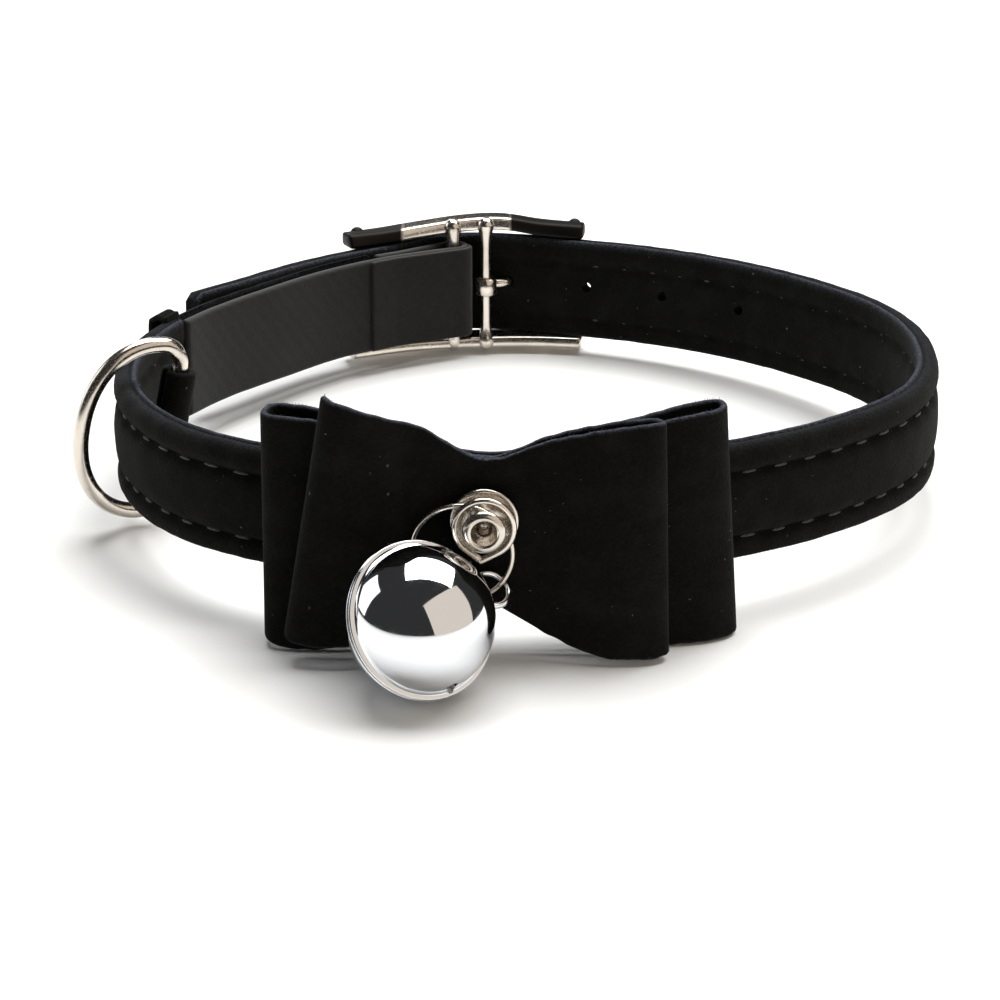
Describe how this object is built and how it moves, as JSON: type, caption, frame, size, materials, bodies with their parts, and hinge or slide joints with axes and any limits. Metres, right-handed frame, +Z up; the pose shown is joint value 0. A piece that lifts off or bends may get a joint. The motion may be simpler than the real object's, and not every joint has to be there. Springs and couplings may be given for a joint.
{
  "type": "pet bow collar",
  "caption": "Velvet pet collar lying on its edge as a closed loop, with a pinched double bow, a hanging jingle bell, a D-ring and a fastened buckle with a tongue.",
  "frame": {"origin": "on the surface that the collar lies on, under the middle of its outer box", "axes": "+Z up off that surface, -Y towards the side that the bow faces, +Y towards the buckle, -X towards the D-ring"},
  "size_m": [0.1153, 0.1396, 0.0344],
  "materials": {
    "velvet": "matte black velvet ribbon",
    "bow_velvet": "matte black velvet",
    "lining": "matte dark grey cloth",
    "nickel": "polished nickel plate",
    "bell_chrome": "mirror chrome plate"
  },
  "bodies": {
    "collar": {"strap": "velvet", "grey_lining": "lining", "buckle_frame": "nickel", "buckle_prong": "nickel", "keeper_loop": "velvet", "d_ring_tab": "velvet", "bow_back": "bow_velvet", "bow_front": "bow_velvet", "rivet": "nickel", "bail": "nickel", "jump_ring": "nickel", "bell_front_half": "bell_chrome", "bell_rear_half": "bell_chrome", "bell_pea": "nickel"},
    "d_ring": {"d_ring": "nickel"}
  },
  "joints": [
    {"name": "d_ring_swing", "type": "hinge", "parent": "collar", "child": "d_ring", "pos_m": [-0.0456, -0.0067, 0.0134], "axis": [0.1923, 0.0305, 0.9809], "range_deg": [-60, 15]}
  ]
}
